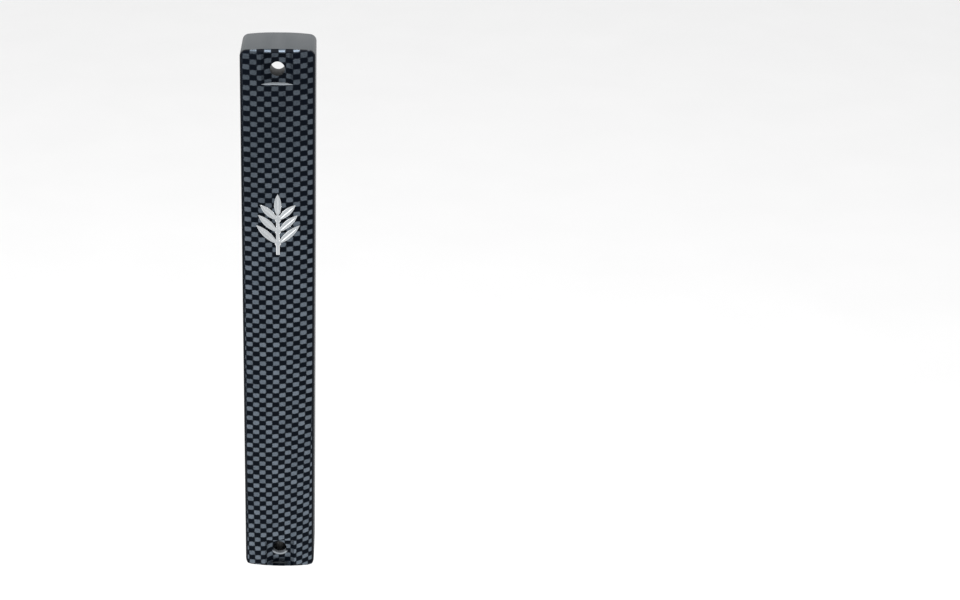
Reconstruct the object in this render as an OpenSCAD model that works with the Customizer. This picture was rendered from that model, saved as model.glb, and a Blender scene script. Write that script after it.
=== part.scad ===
// Mezuzah case: a slim domed case for a doorpost, with a slide-out back and a rolled scroll.
// The back face lies in the plane y = 0, the front faces -Y and the long axis is Z.
// The origin is the middle of the back face.

/* [Case] */
// Length of the case along the doorpost
case_l = 150; // [120:1:190]
// Width of the case
case_w = 19; // [15.5:0.1:25]
// Depth from the back face to the crest of the front
case_d = 16; // [13:0.1:21]
// Rise of the domed front across its width
crown_rise = 1.2; // [0.8:0.1:2]
// Bow of the two ends, seen from the front
end_bow = 0.7; // [0.3:0.1:1.2]
// Radius of the four corners, seen from the front
corner_r = 1.8; // [0.8:0.1:2]
// Rounding of the long front edges
edge_r = 1.5; // [1:0.1:2]
// Rounding of the front edge at each end
end_edge_r = 1.8; // [1.2:0.1:3]
// Rounding of the back edges
back_edge_r = 0.4; // [0.2:0.1:0.6]

/* [Walls] */
// Thickness of the patterned front plate
plate_t = 1.4; // [1:0.1:2]
// Housing wall behind the front plate
front_wall_t = 1.2; // [1:0.1:2]
// Side walls of the housing
side_wall_t = 2; // [1.6:0.1:2.6]
// End walls of the housing
end_wall_t = 1.5; // [1.2:0.1:2.5]
// Bulkhead between the scroll chamber and each screw bay
bulkhead_t = 1.5; // [1:0.1:2.5]

/* [Screw holes] */
// Distance of each screw hole from its end of the case
hole_inset = 5.5; // [4.6:0.1:8]
// Radius of the screw holes
hole_r = 1.9; // [1.5:0.05:2.3]
// Length of the screw bore behind the recess floor
bore_l = 6; // [4.5:0.1:8]
// Wall of the boss around the screw bore
boss_wall = 1.4; // [1:0.1:1.8]
// Gap between the boss and the walls of its bay
bay_gap = 1.3; // [1:0.1:2]

/* [Scooped recesses] */
// Width of the scooped recess at the crest of the dome
recess_w = 8.2; // [6.5:0.1:10]
// Depth of the recess below the crest
recess_depth = 2.3; // [1.8:0.1:3]
// Distance from the screw hole to the recess step
recess_reach = 3.5; // [2.8:0.1:4.2]
// Lip left between the recess and the end of the case
recess_lip = 0.8; // [0.7:0.1:2]

/* [Back cover] */
// Thickness of the sliding back cover
cover_t = 1.6; // [1.2:0.05:2.2]
// Ledge that stops the cover falling into the chamber, each side
cover_ledge = 0.6; // [0.4:0.05:0.8]
// Undercut of the dovetailed edges of the cover, each side
dovetail = 0.8; // [0.5:0.05:1]
// Sliding play of the cover, all round
cover_play = 0.15; // [0.1:0.01:0.3]
// Extra radius of the hole that lets the lower screw lock the cover
lock_hole_extra = 0.35; // [0.2:0.05:0.6]
// Number of finger grooves
grip_count = 5; // [3:1:8]
// Spacing of the finger grooves
grip_pitch = 1.8; // [1.4:0.1:2.5]
// Width of a finger groove
grip_w = 0.8; // [0.5:0.05:1]
// Depth of a finger groove
grip_depth = 0.4; // [0.2:0.05:0.6]

/* [Scroll] */
// Free travel of the scroll along the chamber
scroll_travel = 5; // [4.5:0.1:12]
// Play between the scroll in its sleeve and the chamber
scroll_play = 0.3; // [0.2:0.05:1]
// Wall of the rolled parchment
roll_wall = 2.9; // [2:0.1:3.6]
// Thickness of the clear sleeve
sleeve_t = 0.2; // [0.15:0.01:0.4]
// Gap between the parchment and its sleeve
sleeve_gap = 0.1; // [0.05:0.01:0.3]
// How far the sleeve stands past the parchment at each end
sleeve_over = 1; // [0.5:0.1:3]

/* [Emblem] */
// Height of the middle of the emblem above the middle of the case
emblem_z = 28.6; // [0:0.1:35]
// Raised height of the emblem
emblem_t = 0.8; // [0.5:0.05:1.2]
// Number of leaf pairs on the sprig
leaf_pairs = 3; // [2:1:4]
// Length of the lowest leaves
leaf_l = 7.6; // [5:0.1:8]
// Width of a leaf
leaf_w = 1.9; // [1.4:0.1:2.4]
// Spacing of the leaf pairs along the stem
leaf_pitch = 3.3; // [2.8:0.1:4]
// Angle of the leaves from the stem
leaf_angle = 48; // [35:1:60]
// How much shorter each higher leaf is
leaf_step = 0.7; // [0:0.05:0.9]
// Length of the single leaf at the tip
tip_leaf_l = 6.3; // [4:0.1:8]
// Width of the stem
stem_w = 0.9; // [0.6:0.05:1.4]
// Stem left below the lowest leaves
stem_tail = 3; // [1:0.1:5]
// Radius of the bud where a leaf pair joins the stem
bud_r = 0.95; // [0.8:0.05:1.2]
// Radius of the two pins that locate the emblem
pin_r = 0.6; // [0.4:0.05:0.7]
// Play of a locating pin in its hole
pin_play = 0.05; // [0.02:0.01:0.1]

/* [Hidden] */
$fn = 96;
over = 1;

function dome_radius(width, rise) = (width * width / 4 + rise * rise) / (2 * rise);

crown_r = dome_radius(case_w, crown_rise);
crown_y = crown_r - case_d;
hole_z = case_l / 2 - hole_inset;
floor_y = -(case_d - recess_depth);
boss_r = hole_r + boss_wall;
bay_half = boss_r + bay_gap;
bay_roof_y = floor_y + plate_t + front_wall_t;
chamber_half_w = case_w / 2 - side_wall_t;
chamber_top = hole_z - bay_half - bulkhead_t;
chamber_front_y = -(case_d - plate_t - front_wall_t);
slot_depth = cover_t + cover_play;
cover_half_in = chamber_half_w + cover_ledge;
cover_half_out = cover_half_in - dovetail;
recess_crown_drop = crown_r - sqrt(crown_r * crown_r - recess_w * recess_w / 4);
recess_r = dome_radius(recess_w, recess_depth - recess_crown_drop);
recess_y = floor_y - recess_r;
chamber_depth = -chamber_front_y - slot_depth;
sleeve_r = min(chamber_half_w, chamber_depth / 2) - scroll_play;
roll_r = sleeve_r - sleeve_t - sleeve_gap;
scroll_y = (chamber_front_y - slot_depth) / 2;
sleeve_l = 2 * chamber_top - scroll_travel - 2 * cover_play;
sleeve_z0 = -chamber_top + cover_play;
sprig_h = stem_tail + (leaf_pairs - 1) * leaf_pitch + bud_r + tip_leaf_l;

// A strip of the given width and height whose far edge is bowed and has rounded corners.
module domed_outline(width, height, rise, r) {
    big_r = dome_radius(width, rise);
    centre = height - big_r;
    corner = centre + sqrt(pow(big_r - r, 2) - pow(width / 2 - r, 2));
    meet_x = (width / 2 - r) * big_r / (big_r - r);
    intersection() {
        translate([0, centre]) circle(big_r, $fn = 360);
        translate([-meet_x, 0]) square([2 * meet_x, height + over]);
    }
    translate([-width / 2, 0]) square([width, corner]);
    for (side = [-1, 1])
        translate([side * (width / 2 - r), corner]) circle(r);
}

// Side outline: a rectangle with its back edges rounded.
module side_outline() {
    translate([-case_l / 2, back_edge_r]) square([case_l, case_d]);
    translate([-case_l / 2 + back_edge_r, 0]) square([case_l - 2 * back_edge_r, case_d]);
    for (end = [-1, 1])
        translate([end * (case_l / 2 - back_edge_r), back_edge_r]) circle(back_edge_r);
}

// What the rounding of the front edge takes off at the upper end, coaxial with the dome.
module end_rounding() {
    translate([0, crown_y, case_l / 2 - end_edge_r])
        rotate_extrude($fn = 360)
            difference() {
                translate([crown_r - end_edge_r, 0]) square(end_edge_r + over);
                translate([crown_r - end_edge_r, 0]) circle(end_edge_r);
            }
}

// The whole outer form: cross-section, front outline and side outline together.
module case_form() {
    difference() {
        intersection() {
            mirror([0, 1, 0])
                linear_extrude(case_l + 2 * over, center = true)
                    domed_outline(case_w, case_d, crown_rise, edge_r);
            rotate([90, 0, 0])
                linear_extrude(case_d + over)
                    for (end = [0, 1])
                        mirror([0, end]) domed_outline(case_w, case_l / 2, end_bow, corner_r);
            rotate([0, 0, 180]) rotate([0, -90, 0])
                linear_extrude(case_w + 2 * over, center = true) side_outline();
        }
        both_ends() end_rounding();
    }
}

// A cylinder along Z that is coaxial with the dome of the front.
module dome_bar(r) {
    translate([0, crown_y, 0])
        cylinder(r = r, h = case_l + 2 * over, center = true, $fn = 360);
}

// A box across the middle of the case, between two depths and two heights.
module centred_box(half_w, y0, y1, z0, z1) {
    translate([-half_w, y0, z0]) cube([2 * half_w, y1 - y0, z1 - z0]);
}

// The scooped recess at one end, grown by an allowance except towards the end wall.
module scoop(grow) {
    z0 = hole_z - recess_reach - grow;
    z1 = case_l / 2 - recess_lip;
    translate([0, recess_y, z0]) cylinder(r = recess_r + grow, h = z1 - z0);
}

// Whatever happens at one end happens at the other.
module both_ends() {
    for (end = [0, 1])
        mirror([0, 0, end]) children();
}

// The space that belongs to the front plate: the skin of the dome and a pan under each recess.
module plate_zone() {
    difference() {
        centred_box(case_w, -case_d - over, -case_d / 2, -case_l, case_l);
        dome_bar(crown_r - plate_t);
    }
    both_ends() scoop(plate_t);
}

module screw_bores(r, y0, y1) {
    both_ends()
        translate([0, y0, hole_z]) rotate([-90, 0, 0]) cylinder(r = r, h = y1 - y0);
}

// Dovetailed cross-section of the back cover, grown by an allowance.
module cover_section(grow) {
    polygon([
        [-cover_half_out - grow, over], [-cover_half_out - grow, 0],
        [-cover_half_in - grow, -cover_t - grow], [cover_half_in + grow, -cover_t - grow],
        [cover_half_out + grow, 0], [cover_half_out + grow, over]
    ]);
}

module cover_slot() {
    translate([0, 0, -case_l / 2 - over])
        linear_extrude(case_l / 2 + over + chamber_top) cover_section(cover_play);
}

module chamber() {
    intersection() {
        centred_box(chamber_half_w, -case_d, over, -chamber_top, chamber_top);
        dome_bar(crown_r - plate_t - front_wall_t);
    }
}

// The screw bay behind each recess, left open at the back, with the boss standing in it.
module screw_bay() {
    difference() {
        centred_box(bay_half, bay_roof_y, over, hole_z - bay_half, case_l / 2 - end_wall_t);
        translate([0, bay_roof_y - over, hole_z]) rotate([-90, 0, 0])
            cylinder(r = boss_r, h = floor_y + bore_l - bay_roof_y + over);
    }
}

module housing() {
    color("slategray")
        difference() {
            case_form();
            plate_zone();
            chamber();
            both_ends() screw_bay();
            screw_bores(hole_r, -case_d, floor_y + bore_l + over);
            cover_slot();
        }
}

module front_plate() {
    color("darkslategray")
        difference() {
            intersection() {
                case_form();
                plate_zone();
            }
            both_ends() scoop(0);
            screw_bores(hole_r, -case_d, 0);
            emblem_pins(pin_r + pin_play);
        }
}

// One leaf: where two equal arcs overlap, its root at the origin and its tip up.
module leaf(length, width) {
    arc_r = dome_radius(length, width / 2);
    intersection_for(side = [-1, 1])
        translate([side * (arc_r - width / 2), length / 2]) circle(arc_r);
}

// The sprig from its foot up, as a flat outline.
module sprig_outline() {
    top = stem_tail + (leaf_pairs - 1) * leaf_pitch;
    translate([-stem_w / 2, 0]) square([stem_w, top + tip_leaf_l / 2]);
    for (pair = [0 : leaf_pairs - 1])
        translate([0, stem_tail + pair * leaf_pitch]) {
            circle(bud_r);
            for (side = [-1, 1])
                rotate(side * leaf_angle) leaf(leaf_l - pair * leaf_step, leaf_w);
        }
    translate([0, top + bud_r]) leaf(tip_leaf_l, leaf_w);
}

// Two pins behind the lowest and the highest bud.
module emblem_pins(r) {
    for (pair = [0, leaf_pairs - 1])
        translate([0, -case_d, emblem_z - sprig_h / 2 + stem_tail + pair * leaf_pitch])
            rotate([-90, 0, 0]) cylinder(r = r, h = plate_t);
}

module emblem() {
    color("silver") {
        difference() {
            intersection() {
                translate([0, 0, emblem_z - sprig_h / 2]) rotate([90, 0, 0])
                    linear_extrude(case_d + 2 * emblem_t) sprig_outline();
                dome_bar(crown_r + emblem_t);
            }
            dome_bar(crown_r);
        }
        emblem_pins(pin_r);
    }
}

module rear_cover() {
    cover_l = case_l / 2 + chamber_top - cover_play;
    color("dimgray")
        difference() {
            intersection() {
                translate([0, 0, -case_l / 2]) linear_extrude(cover_l) cover_section(0);
                case_form();
            }
            translate([0, -cover_t - over, -hole_z]) rotate([-90, 0, 0])
                cylinder(r = hole_r + lock_hole_extra, h = cover_t + 2 * over);
            for (i = [0 : grip_count - 1])
                translate([0, 0, -hole_z + 2 * bay_half + i * grip_pitch])
                    centred_box(chamber_half_w - dovetail, -grip_depth, over, 0, grip_w);
        }
}

module parchment_scroll() {
    color("ivory")
        translate([0, scroll_y, sleeve_z0 + sleeve_over])
            difference() {
                cylinder(r = roll_r, h = sleeve_l - 2 * sleeve_over);
                translate([0, 0, -over]) cylinder(r = roll_r - roll_wall, h = sleeve_l + 2 * over);
            }
}

module scroll_sleeve() {
    color("lightcyan")
        translate([0, scroll_y, sleeve_z0])
            difference() {
                cylinder(r = sleeve_r, h = sleeve_l);
                translate([0, 0, -over]) cylinder(r = sleeve_r - sleeve_t, h = sleeve_l + 2 * over);
            }
}

housing();
front_plate();
emblem();
rear_cover();
parchment_scroll();
scroll_sleeve();
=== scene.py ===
import math

import bmesh
import bpy
from mathutils import Matrix, Vector


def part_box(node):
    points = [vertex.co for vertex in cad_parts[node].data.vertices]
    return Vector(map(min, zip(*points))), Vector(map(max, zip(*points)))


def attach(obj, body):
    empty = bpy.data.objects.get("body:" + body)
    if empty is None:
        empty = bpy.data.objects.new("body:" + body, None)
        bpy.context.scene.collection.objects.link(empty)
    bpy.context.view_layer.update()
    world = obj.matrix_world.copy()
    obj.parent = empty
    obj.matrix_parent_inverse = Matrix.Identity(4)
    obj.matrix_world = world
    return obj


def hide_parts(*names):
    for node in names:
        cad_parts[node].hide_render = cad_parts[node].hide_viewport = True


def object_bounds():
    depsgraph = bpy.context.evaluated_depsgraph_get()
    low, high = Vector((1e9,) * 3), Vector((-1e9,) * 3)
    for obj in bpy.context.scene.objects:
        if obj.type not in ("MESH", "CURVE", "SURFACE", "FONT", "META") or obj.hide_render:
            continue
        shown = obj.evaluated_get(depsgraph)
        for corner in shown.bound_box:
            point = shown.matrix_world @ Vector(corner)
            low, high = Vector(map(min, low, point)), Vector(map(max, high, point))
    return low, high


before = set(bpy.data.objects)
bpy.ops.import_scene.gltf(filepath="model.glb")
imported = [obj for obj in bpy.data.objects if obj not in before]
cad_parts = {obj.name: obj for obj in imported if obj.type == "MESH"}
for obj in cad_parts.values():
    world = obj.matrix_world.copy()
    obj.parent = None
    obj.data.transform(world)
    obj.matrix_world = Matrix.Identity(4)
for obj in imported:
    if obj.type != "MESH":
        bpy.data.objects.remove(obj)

CAD_BOX = [list(corner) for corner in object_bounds()]
MM = 0.001

# Sizes of the case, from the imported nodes.
PLATE_LOW, PLATE_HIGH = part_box("front_plate")
HALF_WIDTH = PLATE_HIGH.x
TOP, BOTTOM = PLATE_HIGH.z, PLATE_LOW.z
CREST = PLATE_LOW.y
CROWN_RISE = 1.2 * MM
DOME_R = (HALF_WIDTH ** 2 + CROWN_RISE ** 2) / (2 * CROWN_RISE)
DOME_AXIS = CREST + DOME_R
CASE_END = CAD_BOX[1][2]       # the end of the case itself; its plate stops a little short


# ---------------------------------------------------------------- node trees

class Socket:
    """One output socket, which can be used in a Python expression."""

    def __init__(self, bench, node, output):
        self.bench, self.node, self.output = bench, node, output

    def of(self, name):
        """Another output of the same node."""
        return Socket(self.bench, self.node, find(self.node.outputs, name))

    def __add__(self, other):
        return self.bench.math("ADD", self, other)

    def __radd__(self, other):
        return self.bench.math("ADD", other, self)

    def __sub__(self, other):
        return self.bench.math("SUBTRACT", self, other)

    def __rsub__(self, other):
        return self.bench.math("SUBTRACT", other, self)

    def __mul__(self, other):
        return self.bench.math("MULTIPLY", self, other)

    def __rmul__(self, other):
        return self.bench.math("MULTIPLY", other, self)

    def __truediv__(self, other):
        return self.bench.math("DIVIDE", self, other)

    def __rtruediv__(self, other):
        return self.bench.math("DIVIDE", other, self)

    def __pow__(self, other):
        return self.bench.math("POWER", self, other)

    def __rpow__(self, other):
        return self.bench.math("POWER", other, self)

    def __neg__(self):
        return self.bench.math("MULTIPLY", self, -1.0)

    def __abs__(self):
        return self.bench.math("ABSOLUTE", self)


def find(sockets, key):
    """A socket by its place, identifier or name; the identifier goes first."""
    if isinstance(key, int):
        return sockets[key]
    for by in ("identifier", "name"):
        for socket in sockets:
            if getattr(socket, by) == key and socket.enabled:
                return socket
    raise KeyError(key)


class Bench:
    """Builds one node tree, for a material or for Geometry Nodes."""

    def __init__(self, tree):
        self.tree = tree

    def node(self, kind, settings=None, values=None, output=0):
        """Any node: its settings are made first, then its sockets are set or linked."""
        made = self.tree.nodes.new(kind)
        for name, setting in (settings or {}).items():
            setattr(made, name, setting)
        for key, value in (values or {}).items():
            self.feed(find(made.inputs, key), value)
        if not made.outputs:
            return made
        return Socket(self, made, find(made.outputs, output))

    def feed(self, socket, value):
        """Sets a socket to a value, or links it to one Socket or to a list of them."""
        for item in value if isinstance(value, list) else [value]:
            if isinstance(item, Socket):
                self.tree.links.new(item.output, socket)
            else:
                socket.default_value = item

    def math(self, operation, *values, clamp=False):
        return self.node("ShaderNodeMath", {"operation": operation, "use_clamp": clamp},
                         dict(enumerate(values)))

    def sin(self, value):
        return self.math("SINE", value)

    def floor(self, value):
        return self.math("FLOOR", value)

    def clamp(self, value):
        return self.math("ADD", value, 0.0, clamp=True)

    def step(self, value, low, high):
        """0 below low, 1 above high, and smooth between."""
        return self.node("ShaderNodeMapRange",
                         {"interpolation_type": "SMOOTHSTEP", "clamp": True},
                         {"Value": value, "From Min": low, "From Max": high})

    def blend(self, factor, a, b):
        """A number between two numbers."""
        return self.node("ShaderNodeMix", {"data_type": "FLOAT"},
                         {"Factor_Float": factor, "A_Float": a, "B_Float": b}, "Result_Float")

    def tint(self, factor, a, b):
        """A colour between two colours."""
        return self.node("ShaderNodeMix", {"data_type": "RGBA"},
                         {"Factor_Float": factor, "A_Color": a, "B_Color": b}, "Result_Color")

    def vector(self, x, y, z):
        return self.node("ShaderNodeCombineXYZ", None, {"X": x, "Y": y, "Z": z})

    def place_mm(self):
        """The object's own x, y and z in millimetres."""
        coords = self.node("ShaderNodeTexCoord", output="Object")
        scaled = self.node("ShaderNodeVectorMath", {"operation": "SCALE"},
                           {"Vector": coords, "Scale": 1 / MM})
        split = self.node("ShaderNodeSeparateXYZ", None, {"Vector": scaled})
        return scaled, split, split.of("Y"), split.of("Z")

    def turned(self):
        """How much a face looks to the front and how much it looks up, 0 to 1 each."""
        normal = self.node("ShaderNodeTexCoord", output="Normal")
        split = self.node("ShaderNodeSeparateXYZ", None, {"Vector": normal})
        return self.clamp(-split.of("Y")), self.clamp(split.of("Z"))

    def grain(self, place, per_mm, detail=2.0, roughness=0.5):
        """Fractal noise, 0 to 1, of so many waves a millimetre."""
        return self.node("ShaderNodeTexNoise", {"noise_dimensions": "3D"},
                         {"Vector": place, "Scale": per_mm, "Detail": detail,
                          "Roughness": roughness})

    def cell_noise(self, vector):
        """One random number, 0 to 1, for each whole place."""
        return self.node("ShaderNodeTexWhiteNoise", {"noise_dimensions": "3D"},
                         {"Vector": vector}, "Value")

    def bump(self, height, depth_mm, strength=1.0):
        """A normal that is bent by a height of so many millimetres."""
        return self.node("ShaderNodeBump", None,
                         {"Height": height, "Distance": depth_mm * MM, "Strength": strength})


def finish_material(name, paint, **constants):
    """A material: paint(bench) gives the sockets that change, constants the others."""
    made = bpy.data.materials.new(name)
    made.use_nodes = True
    made.node_tree.nodes.clear()
    bench = Bench(made.node_tree)
    values = dict(paint(bench))
    for key, value in constants.items():
        values[key.replace("_", " ")] = value
    shader = bench.node("ShaderNodeBsdfPrincipled", None, values)
    bench.node("ShaderNodeOutputMaterial", None, {"Surface": shader})
    return made


def linear(r, g, b):
    """A display colour, 0 to 255, as a scene colour."""
    def one(c):
        c /= 255
        return c / 12.92 if c <= 0.04045 else ((c + 0.055) / 1.055) ** 2.4
    return (one(r), one(g), one(b), 1.0)


# ---------------------------------------------------------------- finishes

# Sizes of the print, in mm unless a comment says otherwise. "Down" runs from 0 at the top to 1.
CELL_W = 1.82                       # width of one check at the top
CELL_NARROWING = 0.19
CELL_H = 1.366                      # height of one check
ROW_PHASE = 0.767                   # where in the print the first row starts, in rows
FOOT_SLIP = 0.45                    # how far the last rows were drawn down, in rows
SLIP_FROM = 0.82                    # how far down that starts
SEAM_TOP, SEAM_FOOT = -0.32, 0.27   # how far off centre the middle seam runs
SEAM_FROM, SEAM_TO = 0.52, 0.84     # how far down the seam wanders from one to the other
BOW_TOP, BOW_FOOT = 0.35, 0.82      # how far the rows curl up at both sides
SKEW_TOP, SKEW_FOOT = 0.34, 2.13    # how far the rows climb to the right
STRANDS_ACROSS, STRANDS_DOWN = 1.7, 3.6   # streaks in a check, in waves per mm
STRAND_WEIGHT = 0.55                # how ragged the streaks make the edges of a check
PRINT_MARGIN = 0.62                 # plain strip along each long edge

# The scooped recesses and their screw holes.
RECESS_END = CASE_END / MM - 0.8    # where a recess meets its lip
RECESS_HALF = 4.1                   # half width of a recess
HOLE_AT = CASE_END / MM - 5.5       # height of the screw holes above and below the middle
HOLE_R = 1.9                        # radius of the screw holes
LIP_W = 0.18                        # middle of the painted highlight ring on the lower rim, outside the hole

PAINTED_BORE_SHADE = linear(30, 32, 35)    # painted shade for the unlit wall of a screw bore
GLINT_PALE_PAINT = linear(168, 174, 180)   # painted highlight: pale colour where the overhead light would glint on a step or a rim


def past_hole(x, z):
    """How far a place lies outside the wall of the nearer screw hole, in mm."""
    return (x ** 2 + (abs(z) - HOLE_AT) ** 2) ** 0.5 - HOLE_R


def chequered_print(b):
    """Metallic checks on navy, on a film that was pulled askew towards the foot."""
    place, x, _, z = b.place_mm()
    length = (TOP - BOTTOM) / MM
    half = HALF_WIDTH / MM
    down = b.clamp((TOP / MM - z) / length)
    pull = down ** 3
    side = x / half
    rise = (BOW_TOP + BOW_FOOT * pull) * side * side + (SKEW_TOP + SKEW_FOOT * pull) * side
    seam = b.blend(b.step(down, SEAM_FROM, SEAM_TO), SEAM_TOP, SEAM_FOOT)
    column = (x + seam) / (CELL_W - CELL_NARROWING * pull)
    row = (ROW_PHASE - (TOP / MM - z + rise) / CELL_H
           + FOOT_SLIP * b.step(down, SLIP_FROM, 1.0))
    strand = b.grain(b.vector(x * STRANDS_ACROSS, 0.0, z * STRANDS_DOWN), 1.0, 3.0, 0.62)
    cloud = b.grain(place, 0.09, 3.0)
    grain = b.grain(place, 7.0, 2.0)
    wave = b.sin(column * math.pi) * b.sin(row * math.pi) + STRAND_WEIGHT * (strand - 0.5)
    front, up = b.turned()
    at_end = b.step(abs(z), RECESS_END - 1.0, RECESS_END - 0.6)
    margin = 1 - b.step(abs(x), half - PRINT_MARGIN - 0.1, half - PRINT_MARGIN + 0.1)
    printed = b.clamp(b.step(front, 0.02, 0.12) + at_end) * margin
    # Painted highlight: the up-facing step of each recess and a ring on the lower rim of the lower
    # hole are painted pale where the overhead light would glint, and the foil is left off there.
    outside = past_hole(x, z)
    step = (b.step(up, 0.30, 0.62) * (1 - at_end) * b.step(outside, 0.4, 0.6)
            * (1 - b.step(abs(x), RECESS_HALF - 0.3, RECESS_HALF + 0.3)))
    lip = (1 - b.step(abs(outside - LIP_W), 0.16, 0.30)) * b.step(-HOLE_AT - z, 0.5, 1.4)
    painted_glint = b.clamp(step + lip)
    foil = b.step(wave, -0.10, 0.34) * printed * (1 - painted_glint)
    shade = b.cell_noise(b.vector(b.floor(column), b.floor(row), 0.0))
    bright = b.tint(b.clamp(shade * 0.3 + cloud * 0.2 + (strand - 0.3) * 1.2),
                    linear(70, 79, 88), linear(126, 136, 147))
    # Painted shade: the light checks are darkened towards the top of the case.
    bright = b.tint(b.step(down, 0.0, 0.5), b.tint(0.42, bright, linear(8, 14, 22)), bright)
    navy = b.tint(cloud, linear(2, 7, 15), linear(6, 13, 24))
    # Painted highlight: the pale glint colour is laid over the navy.
    navy = b.tint(painted_glint, navy, GLINT_PALE_PAINT)
    return {
        "Base Color": b.tint(foil, navy, bright),
        "Metallic": foil * 0.94,
        "Roughness": b.blend(foil, 0.44, 0.28 + 0.08 * shade) + 0.05 * grain,
        "Normal": b.bump(foil + 0.3 * strand, 0.02, 0.5),
    }


def grey_moulding(b):
    """Satin grey plastic with the faint flow of the mould, and painted shade inside the screw
    bores.
    """
    place, x, _, z = b.place_mm()
    flow = b.grain(place, 0.12, 3.0)
    fine = b.grain(place, 9.0, 3.0)
    grey = b.tint(flow * 0.45 + fine * 0.55, linear(62, 66, 69), linear(84, 88, 91))
    # Painted shade: the wall of each screw bore is coloured dark, as if unlit.
    bore = 1 - b.step(past_hole(x, z), 0.1, 0.3)
    return {
        "Base Color": b.tint(bore, grey, PAINTED_BORE_SHADE),
        "Roughness": 0.40 + 0.12 * fine,
        "Normal": b.bump(fine, 0.012, 0.5),
    }


def dark_moulding(b):
    """Dark plastic with a fine spark-eroded texture."""
    place, _, _, _ = b.place_mm()
    fine = b.grain(place, 4.5, 4.0, 0.6)
    broad = b.grain(place, 0.15, 2.0)
    return {
        "Base Color": b.tint(broad * 0.6 + fine * 0.4, linear(36, 39, 43), linear(52, 56, 61)),
        "Roughness": 0.46 + 0.18 * fine,
        "Normal": b.bump(fine, 0.03, 0.7),
    }


def silvered_casting(b):
    """Silvered metal: a satin face, and sides and edges that are polished and painted brighter as
    a highlight.
    """
    place, _, _, _ = b.place_mm()
    front, _ = b.turned()
    # Polished sides and edges, with a painted highlight: they get a brighter colour as well as a
    # smoother finish.
    polish_and_sheen = 1 - b.step(front, 0.72, 0.97)
    satin = b.grain(place, 6.0, 3.0, 0.6)
    cloud = b.grain(place, 0.4, 2.0)
    return {
        "Base Color": b.tint(polish_and_sheen, b.tint(cloud, linear(180, 185, 189), linear(196, 200, 203)),
                             linear(240, 241, 242)),
        "Roughness": b.blend(polish_and_sheen, 0.36 + 0.10 * satin, 0.16),
        "Normal": b.bump(satin, 0.008, 0.5),
    }


def parchment_skin(b):
    """Ivory parchment with follicle specks and a soft cloudiness."""
    place, _, _, _ = b.place_mm()
    cloud = b.grain(place, 0.16, 4.0)
    fibre = b.grain(place, 3.2, 4.0, 0.65)
    pits = b.node("ShaderNodeTexVoronoi", {"feature": "F1"},
                  {"Vector": place, "Scale": 1.4}, "Distance")
    speck = 1 - b.step(pits, 0.05, 0.17)
    base = b.tint(b.clamp(cloud * 0.7 + fibre * 0.3), linear(214, 194, 152),
                  linear(238, 225, 194))
    return {
        "Base Color": b.tint(speck * 0.35, base, linear(158, 128, 88)),
        "Roughness": 0.62 + 0.16 * fibre,
        "Normal": b.bump(fibre - 0.4 * speck, 0.04, 0.6),
    }


def film_skin(b):
    """Clear film with faint handling creases."""
    place, _, _, _ = b.place_mm()
    crease = b.grain(place, 0.35, 3.0, 0.6)
    return {
        "Base Color": b.tint(crease, linear(214, 224, 228), linear(236, 242, 244)),
        "Roughness": 0.08 + 0.14 * crease,
        "Normal": b.bump(crease, 0.08, 0.5),
    }


def floor_paper(b):
    """White backdrop paper."""
    place, _, _, _ = b.place_mm()
    fibre = b.grain(place, 0.02, 2.0)
    return {
        "Base Color": b.tint(fibre, linear(247, 247, 247), linear(251, 251, 251)),
        "Roughness": 0.9 + 0.05 * fibre,
    }


PRINT = finish_material("chequered_print", chequered_print, Specular_IOR_Level=0.05)
GREY = finish_material("grey_moulding", grey_moulding, Specular_IOR_Level=0.35)
DARK = finish_material("dark_moulding", dark_moulding)
SILVER = finish_material("silvered_casting", silvered_casting, Metallic=1.0)
PARCHMENT = finish_material("parchment_skin", parchment_skin)
FILM = finish_material("film_skin", film_skin, Alpha=0.28, IOR=1.49)
PAPER = finish_material("floor_paper", floor_paper)


# ---------------------------------------------------------------- pieces

def new_object(name, mesh, material=None):
    """An object in the scene, with one material when it is given."""
    made = bpy.data.objects.new(name, mesh)
    bpy.context.scene.collection.objects.link(made)
    if material:
        mesh.materials.clear()
        mesh.materials.append(material)
    return made


def taken(obj, name, material):
    """What the modifiers of obj make, as a plain object of its own; obj is removed."""
    bpy.context.view_layer.update()
    evaluated = obj.evaluated_get(bpy.context.evaluated_depsgraph_get())
    mesh = bpy.data.meshes.new_from_object(evaluated)
    mesh.name = name
    bpy.data.objects.remove(obj)
    return new_object(name, mesh, material)


def set_creases(mesh, angle):
    """Smooth faces that meet at less than angle, and a crease where they meet at more."""
    work = bmesh.new()
    work.from_mesh(mesh)
    for face in work.faces:
        face.smooth = True
    for edge in work.edges:
        edge.smooth = len(edge.link_faces) == 2 and edge.calc_face_angle(0.0) < math.radians(angle)
    work.to_mesh(mesh)
    work.free()


DOUBLES = 0.002 * MM     # closer points than this are one
SLIVER = 0.001 * MM      # shorter edges than this go
FLAT_ANGLE = 0.05        # faces that turn less than this are one, degrees
SOFT_ANGLE = 32          # edges that turn more than this stay crisp, degrees


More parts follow.
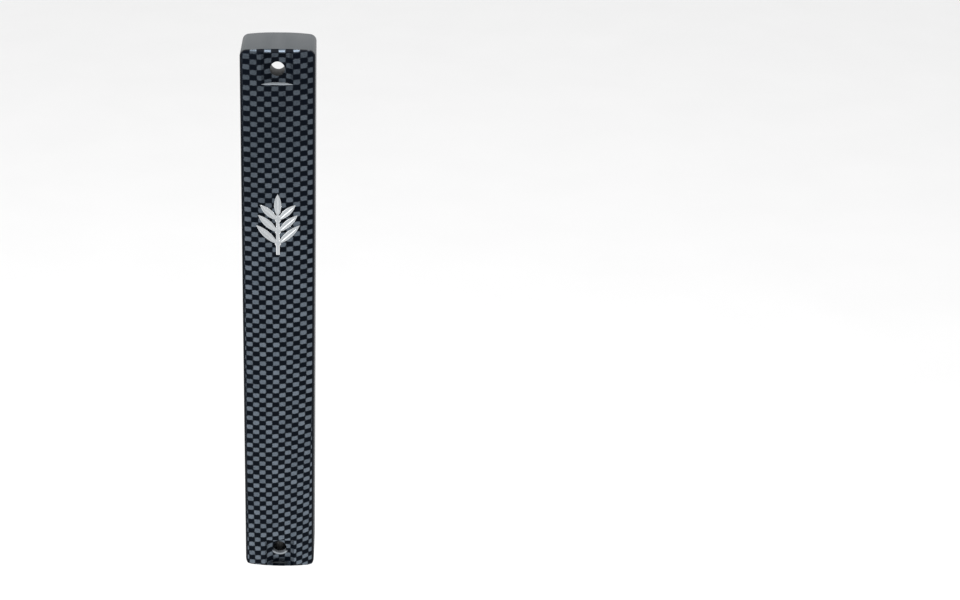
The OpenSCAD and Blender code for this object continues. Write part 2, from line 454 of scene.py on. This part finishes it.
def moulded(node, name, body, material, edge_mm=0.14, angle=28):
    """A moulding: the CAD node's form with its doubles merged and its sharp edges broken."""
    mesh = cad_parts[node].data.copy()
    work = bmesh.new()
    work.from_mesh(mesh)
    bmesh.ops.remove_doubles(work, verts=work.verts, dist=DOUBLES)
    bmesh.ops.dissolve_degenerate(work, edges=work.edges, dist=SLIVER)
    bmesh.ops.dissolve_limit(work, angle_limit=math.radians(FLAT_ANGLE),
                             verts=work.verts, edges=work.edges)
    work.to_mesh(mesh)
    work.free()
    if mesh.has_custom_normals:
        mesh.attributes.remove(mesh.attributes["custom_normal"])
    blank = new_object(name + "_blank", mesh)
    bevel = blank.modifiers.new("broken_edges", "BEVEL")
    bevel.width = edge_mm * MM
    bevel.segments = 3
    bevel.limit_method = "ANGLE"
    bevel.angle_limit = math.radians(angle)
    bevel.use_clamp_overlap = True
    piece = taken(blank, name, material)
    set_creases(piece.data, SOFT_ANGLE)
    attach(piece, body)
    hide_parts(node)
    return piece


moulded("housing", "case_housing", "case", GREY)
moulded("front_plate", "chequered_front", "case", PRINT, 0.26)
moulded("rear_cover", "sliding_back", "cover", DARK)


# ---------------------------------------------------------------- sprig

LEAF_L = 7.6 * MM       # length of the lowest leaves
LEAF_W = 1.9 * MM
LEAF_STEP = 0.7 * MM    # how much shorter each pair is than the one below
LEAF_PITCH = 3.3 * MM
LEAF_ANGLE = 48         # from the stem, degrees
LEAF_PAIRS = 3
LEAF_ROWS = 36          # rings of points along a leaf
RIB_H = 0.16 * MM       # height of the midrib
RIB_W = 0.13 * MM
LEAF_SUNK = 0.06 * MM   # how far a leaf reaches into the plate
TIP_LEAF_L = 6.3 * MM
STEM_W = 0.9 * MM
STEM_TAIL = 3 * MM
BUD_R = 0.95 * MM
PIN_R = 0.6 * MM
RAISED = 0.8 * MM
ROLLED_EDGE = 0.22 * MM


def leaf_blank():
    """One closed leaf, root at the origin and tip up, with a rolled edge and a midrib."""
    arc = (LEAF_L ** 2 / 4 + LEAF_W ** 2 / 4) / LEAF_W
    across = [-1, -0.985, -0.95, -0.89, -0.8, -0.66, -0.45, -0.26, -0.15, -0.07]
    across = across + [0] + [-a for a in reversed(across)]
    mesh = bpy.data.meshes.new("leaf_blank")
    work = bmesh.new()
    rings = []
    for i in range(LEAF_ROWS + 1):
        along = 0.5 - 0.5 * math.cos(math.pi * (0.012 + 0.976 * i / LEAF_ROWS))
        z = LEAF_L * along
        half = math.sqrt(arc ** 2 - (z - LEAF_L / 2) ** 2) - (arc - LEAF_W / 2)
        roll = min(ROLLED_EDGE, half)
        ring = []
        for a in across:
            inset = half * (1 - abs(a))
            drop = roll - math.sqrt(max(roll ** 2 - max(roll - inset, 0) ** 2, 0))
            rib = RIB_H * math.exp(-(a * half / RIB_W) ** 2)
            rib *= max(0.0, min(1.0, 4 * along * (1 - along) * 1.6 - 0.15))
            ring.append(work.verts.new((a * half, -(RAISED - drop - rib), z)))
        ring.append(work.verts.new((half, LEAF_SUNK, z)))
        ring.append(work.verts.new((-half, LEAF_SUNK, z)))
        rings.append(ring)
    for low, high in zip(rings, rings[1:]):
        for j in range(len(low)):
            k = (j + 1) % len(low)
            work.faces.new((low[j], low[k], high[k], high[j]))
    work.faces.new(list(reversed(rings[0])))
    work.faces.new(rings[-1])
    bmesh.ops.recalc_face_normals(work, faces=work.faces)
    work.to_mesh(mesh)
    work.free()
    return mesh


def geometry_tree(name, inputs):
    """An empty Geometry Nodes tree with named inputs; returns it, its bench and its inputs."""
    tree = bpy.data.node_groups.new(name, "GeometryNodeTree")
    tree.interface.new_socket("Geometry", in_out="INPUT", socket_type="NodeSocketGeometry")
    for label, (kind, value) in inputs.items():
        item = tree.interface.new_socket(label, in_out="INPUT", socket_type="NodeSocket" + kind)
        if value is not None:
            item.default_value = value
    tree.interface.new_socket("Geometry", in_out="OUTPUT", socket_type="NodeSocketGeometry")
    bench = Bench(tree)
    return tree, bench, bench.node("NodeGroupInput")


def grown(name, mesh, tree, inputs, material):
    """The result of a Geometry Nodes tree on a mesh, as a plain object."""
    blank = new_object(name + "_blank", mesh)
    nodes = blank.modifiers.new(tree.name, "NODES")
    nodes.node_group = tree
    for item in tree.interface.items_tree:
        if item.in_out == "INPUT" and item.name in inputs:
            nodes[item.identifier] = inputs[item.name]
    return taken(blank, name, material)


def sprig_tree():
    """Sets leaves, buds, a stem and two pins in place from one leaf, and lays them on the dome."""
    sizes = {
        "Pairs": ("Int", 3), "Foot": ("Float", 0.0), "Tail": ("Float", 0.0),
        "Pitch": ("Float", 0.0), "Angle": ("Float", 0.0), "Shorter": ("Float", 0.0),
        "Tip": ("Float", 1.0), "Bud Radius": ("Float", 0.0), "Stem Width": ("Float", 0.0),
        "Raised": ("Float", 0.0), "Pin Radius": ("Float", 0.0), "Pin Length": ("Float", 0.0),
        "Dome Radius": ("Float", 1.0), "Dome Axis": ("Float", 0.0),
        "Material": ("Material", None),
    }
    tree, b, given = geometry_tree("sprig", sizes)
    leaf = given.of("Geometry")
    first = given.of("Foot") + given.of("Tail")
    top = first + (given.of("Pairs") - 1) * given.of("Pitch")
    nodes = b.node("GeometryNodeMeshLine", {"mode": "OFFSET"},
                   {"Count": given.of("Pairs"), "Start Location": b.vector(0.0, 0.0, first),
                    "Offset": b.vector(0.0, 0.0, given.of("Pitch"))})
    index = b.node("GeometryNodeInputIndex")
    length = 1 - index * given.of("Shorter")
    parts = []
    for side in (-1, 1):
        parts.append(b.node("GeometryNodeInstanceOnPoints", None,
                            {"Points": nodes, "Instance": leaf,
                             "Rotation": b.vector(0.0, given.of("Angle") * side, 0.0),
                             "Scale": b.vector(1.0, 1.0, length)}))
    parts.append(b.node("GeometryNodeTransform", None,
                        {"Geometry": leaf,
                         "Translation": b.vector(0.0, 0.0, top + given.of("Bud Radius")),
                         "Scale": b.vector(1.0, 1.0, given.of("Tip"))}))
    # A rounded bar, half of it sunk in the dome, for the stem.
    section = b.node("GeometryNodeCurvePrimitiveQuadrilateral", {"mode": "RECTANGLE"},
                     {"Width": given.of("Stem Width"), "Height": given.of("Raised") * 2})
    section = b.node("GeometryNodeFilletCurve", None,
                     {"Curve": section, "Radius": given.of("Stem Width") * 0.28})
    section = b.node("GeometryNodeResampleCurve", None, {"Curve": section, "Count": 40})
    stem_line = b.node("GeometryNodeCurvePrimitiveLine", {"mode": "POINTS"},
                       {"Start": b.vector(0.0, 0.0, given.of("Foot")),
                        "End": b.vector(0.0, 0.0, top + given.of("Bud Radius") * 1.4)})
    parts.append(b.node("GeometryNodeCurveToMesh", None,
                        {"Curve": stem_line, "Profile Curve": section, "Fill Caps": True}))
    bud = b.node("GeometryNodeMeshUVSphere", None,
                 {"Segments": 40, "Rings": 20, "Radius": given.of("Bud Radius")})
    parts.append(b.node("GeometryNodeInstanceOnPoints", None,
                        {"Points": nodes, "Instance": bud,
                         "Scale": b.vector(1.0, given.of("Raised") / given.of("Bud Radius"),
                                           1.0)}))
    joined = b.node("GeometryNodeJoinGeometry", None, {"Geometry": list(reversed(parts))})
    joined = b.node("GeometryNodeRealizeInstances", None, {"Geometry": joined})
    # Lay it all on the dome.
    across = b.node("ShaderNodeSeparateXYZ", None, {"Vector": b.node("GeometryNodeInputPosition")})
    depth = given.of("Dome Axis") - b.math(
        "SQRT", given.of("Dome Radius") * given.of("Dome Radius") - across * across)
    laid = b.node("GeometryNodeSetPosition", None,
                  {"Geometry": joined, "Offset": b.vector(0.0, depth, 0.0)})
    # The pins go straight back through the plate, behind the first and the last bud.
    pin = b.node("GeometryNodeMeshCylinder", None,
                 {"Vertices": 32, "Radius": given.of("Pin Radius"),
                  "Depth": given.of("Pin Length")})
    last = given.of("Pairs") - 1
    at_end = b.math("COMPARE", index * (last - index), 0.0, 0.5)
    pins = b.node("GeometryNodeInstanceOnPoints", None,
                  {"Points": nodes, "Selection": at_end, "Instance": pin,
                   "Rotation": b.vector(math.pi / 2, 0.0, 0.0)})
    pins = b.node("GeometryNodeRealizeInstances", None, {"Geometry": pins})
    pins = b.node("GeometryNodeSetPosition", None,
                  {"Geometry": pins,
                   "Offset": b.vector(0.0, given.of("Dome Axis") - given.of("Dome Radius")
                                      + given.of("Pin Length") / 2, 0.0)})
    whole = b.node("GeometryNodeJoinGeometry", None, {"Geometry": [pins, laid]})
    whole = b.node("GeometryNodeRealizeInstances", None, {"Geometry": whole})
    whole = b.node("GeometryNodeSetMaterial", None,
                   {"Geometry": whole, "Material": given.of("Material")})
    b.node("NodeGroupOutput", None, {"Geometry": whole})
    return tree


def olive_sprig():
    """The emblem: an olive sprig on the front plate."""
    low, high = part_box("emblem")
    sprig = grown("olive_sprig", leaf_blank(), sprig_tree(), {
        "Pairs": LEAF_PAIRS, "Foot": low.z, "Tail": STEM_TAIL, "Pitch": LEAF_PITCH,
        "Angle": math.radians(LEAF_ANGLE), "Shorter": LEAF_STEP / LEAF_L,
        "Tip": TIP_LEAF_L / LEAF_L, "Bud Radius": BUD_R, "Stem Width": STEM_W,
        "Raised": RAISED, "Pin Radius": PIN_R, "Pin Length": high.y - CREST,
        "Dome Radius": DOME_R, "Dome Axis": DOME_AXIS, "Material": SILVER}, SILVER)
    set_creases(sprig.data, 40)
    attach(sprig, "case")
    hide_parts("emblem")


olive_sprig()


# ---------------------------------------------------------------- scroll

ROLL_TURNS = 5
ROLL_STEPS = 64         # facets in one turn
SHEET_T = 0.25 * MM
ROLL_CORE = 2.45 * MM   # radius of the hollow in the middle
ROLL_PLAY = 0.03 * MM   # left between the roll and the form it stands for


def roll_tree():
    """Rolls a flat sheet into a spiral around an upright axis."""
    sizes = {
        "Turns": ("Float", 1.0), "Inner Radius": ("Float", 0.0), "Outer Radius": ("Float", 0.0),
        "Height": ("Float", 0.0), "Foot": ("Float", 0.0), "Axis Depth": ("Float", 0.0),
        "Steps": ("Int", 10), "Material": ("Material", None),
    }
    tree, b, given = geometry_tree("rolled_sheet", sizes)
    flat = b.node("GeometryNodeMeshGrid", None,
                  {"Size X": 1.0, "Size Y": 1.0, "Vertices X": given.of("Steps"),
                   "Vertices Y": 9})
    here = b.node("ShaderNodeSeparateXYZ", None, {"Vector": b.node("GeometryNodeInputPosition")})
    along = here + 0.5
    up = here.of("Y") + 0.5
    angle = along * given.of("Turns") * (2 * math.pi)
    radius = given.of("Inner Radius") + along * (given.of("Outer Radius")
                                                 - given.of("Inner Radius"))
    rolled = b.node("GeometryNodeSetPosition", None, {
        "Geometry": flat,
        "Position": b.vector(radius * b.math("COSINE", angle),
                             given.of("Axis Depth") + radius * b.sin(angle),
                             given.of("Foot") + up * given.of("Height"))})
    rolled = b.node("GeometryNodeRealizeInstances", None, {"Geometry": rolled})
    rolled = b.node("GeometryNodeSetMaterial", None,
                    {"Geometry": rolled, "Material": given.of("Material")})
    b.node("NodeGroupOutput", None, {"Geometry": rolled})
    return tree


def rolled_parchment():
    """The scroll, as one sheet that is rolled up."""
    low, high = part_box("parchment_scroll")
    outer = (high.x - low.x) / 2 - SHEET_T / 2 - ROLL_PLAY
    inner = ROLL_CORE + SHEET_T / 2
    roll = grown("rolled_parchment", bpy.data.meshes.new("roll_blank"), roll_tree(), {
        "Turns": float(ROLL_TURNS), "Inner Radius": inner, "Outer Radius": outer,
        "Height": high.z - low.z, "Foot": low.z, "Axis Depth": (low.y + high.y) / 2,
        "Steps": ROLL_TURNS * ROLL_STEPS + 1, "Material": PARCHMENT}, PARCHMENT)
    set_creases(roll.data, 40)
    wall = roll.modifiers.new("thickness", "SOLIDIFY")
    wall.thickness = SHEET_T
    wall.offset = 0
    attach(roll, "scroll")
    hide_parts("parchment_scroll")


rolled_parchment()

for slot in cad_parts["scroll_sleeve"].material_slots:
    slot.material = FILM


# ---------------------------------------------------------------- stage, lights, camera

FLOOR_Z = -0.235                     # below the cover when it is drawn right out
FLOOR_SIZE = 6.0
CASE_MIDDLE = (0.0, -0.008, 0.0)     # what the lamps and the camera aim at


def pale_floor():
    """The ground under the object."""
    mesh = bpy.data.meshes.new("pale_floor")
    work = bmesh.new()
    bmesh.ops.create_grid(work, x_segments=1, y_segments=1, size=FLOOR_SIZE)
    bmesh.ops.translate(work, verts=work.verts, vec=(0, 0, FLOOR_Z))
    work.to_mesh(mesh)
    work.free()
    new_object("pale_floor", mesh, PAPER)


def softbox(name, place, width, height, watts):
    """A rectangular lamp that looks at the case."""
    lamp = bpy.data.lights.new(name, "AREA")
    lamp.shape = "RECTANGLE"
    lamp.size, lamp.size_y, lamp.energy = width, height, watts
    made = bpy.data.objects.new(name, lamp)
    made.location = place
    made.rotation_euler = (Vector(CASE_MIDDLE) - Vector(place)).to_track_quat("-Z", "Y").to_euler()
    bpy.context.scene.collection.objects.link(made)


def studio():
    """An even white surround, a lamp above the case and a larger one at its left."""
    world = bpy.data.worlds.new("studio")
    world.use_nodes = True
    world.node_tree.nodes.clear()
    bench = Bench(world.node_tree)
    glow = bench.node("ShaderNodeBackground", None,
                      {"Color": (1.0, 1.0, 1.0, 1.0), "Strength": 0.86})
    bench.node("ShaderNodeOutputWorld", None, {"Surface": glow})
    bpy.context.scene.world = world
    softbox("overhead_box", (0.0, -0.05, 0.75), 0.24, 0.20, 3.0)
    softbox("left_box", (-0.75, -0.65, 0.45), 0.5, 0.7, 2.0)


def camera():
    """A long lens that looks down on the case, a little turned and rolled, and shifted."""
    lens, azimuth, elevation, roll, away = 76.14, 2.32, 24.34, -0.27, 0.54335
    az, el, turn = (math.radians(a) for a in (azimuth, elevation, roll))
    back = Vector((math.sin(az) * math.cos(el), -math.cos(az) * math.cos(el), math.sin(el)))
    right = Vector((math.cos(az), math.sin(az), 0.0))
    up = back.cross(right)
    right, up = (math.cos(turn) * right + math.sin(turn) * up,
                 math.cos(turn) * up - math.sin(turn) * right)
    data = bpy.data.cameras.new("camera")
    data.lens = lens
    data.sensor_width = 36.0
    data.shift_x, data.shift_y = 0.2088, 0.0123
    data.clip_start, data.clip_end = 0.01, 50.0
    made = bpy.data.objects.new("camera", data)
    place = Matrix((right, up, back)).transposed().to_4x4()
    place.translation = Vector(CASE_MIDDLE) + back * away
    made.matrix_world = place
    bpy.context.scene.collection.objects.link(made)
    bpy.context.scene.camera = made


pale_floor()
studio()
camera()
bpy.context.scene.view_settings.view_transform = "Standard"
